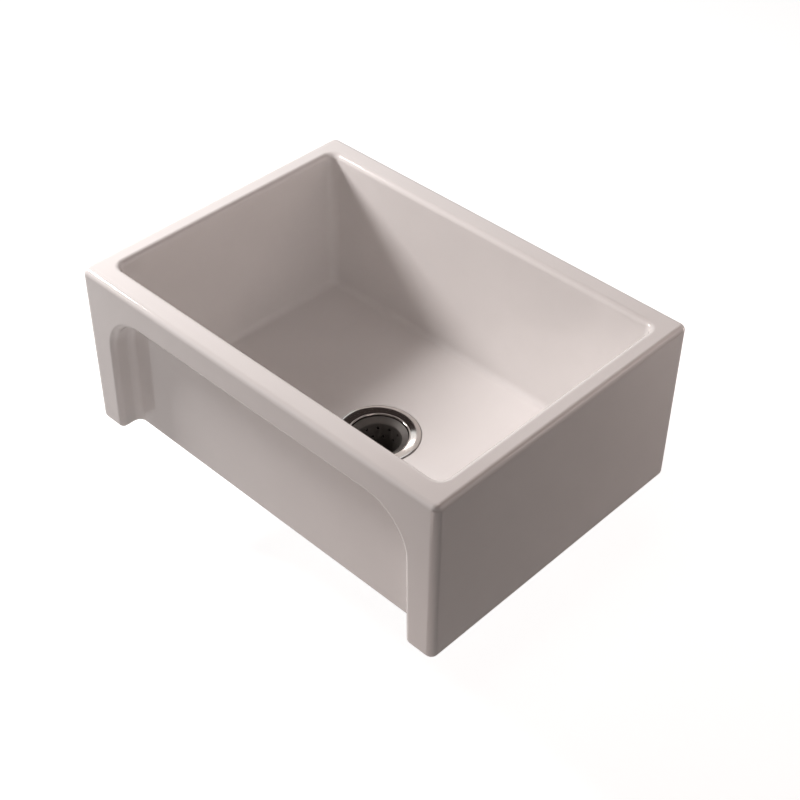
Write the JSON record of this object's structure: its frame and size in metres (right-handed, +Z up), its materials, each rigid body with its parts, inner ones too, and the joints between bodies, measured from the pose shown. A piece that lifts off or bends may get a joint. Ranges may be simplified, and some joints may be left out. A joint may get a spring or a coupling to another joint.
{
  "type": "fireclay kitchen sink",
  "caption": "Rectangular glazed fireclay kitchen sink with an arched recessed front between two feet, and a basket strainer waste in its falling floor.",
  "frame": {"origin": "on the axis of the waste, level with the underside that rests on the cabinet", "axes": "+X along the sink to its right end, +Y from the arched front to the back, +Z up"},
  "size_m": [0.61, 0.444, 0.407],
  "materials": {
    "fireclay_glaze": "gloss white glaze, warm, on fireclay",
    "polished_steel": "polished stainless steel",
    "pressed_steel": "satin stainless sheet",
    "chromed_tube": "chromed brass",
    "zinc": "cast zinc, dull grey",
    "brass": "turned brass",
    "black_rubber": "matt black rubber",
    "sealing_putty": "grey sealing putty",
    "fibre": "pressed fibre sheet",
    "nylon": "moulded nylon"
  },
  "bodies": {
    "sink": {"sink_body": "fireclay_glaze", "strainer_body": "polished_steel", "outlet_cross": "pressed_steel", "post_clip": "nylon", "flange_seal": "sealing_putty", "lower_gasket": "black_rubber", "friction_washer": "fibre", "locknut": "zinc", "tailpiece_washer": "nylon", "tailpiece": "chromed_tube", "coupling_nut": "chromed_tube"},
    "basket": {"basket_cup": "pressed_steel", "basket_post": "pressed_steel", "basket_knob": "polished_steel", "stopper": "black_rubber", "stopper_washer": "pressed_steel", "post_nut": "brass"}
  },
  "joints": [
    {"name": "basket_lift", "type": "slide", "parent": "sink", "child": "basket", "axis": [0, 0, 1], "range_m": [0, 0.305]}
  ]
}
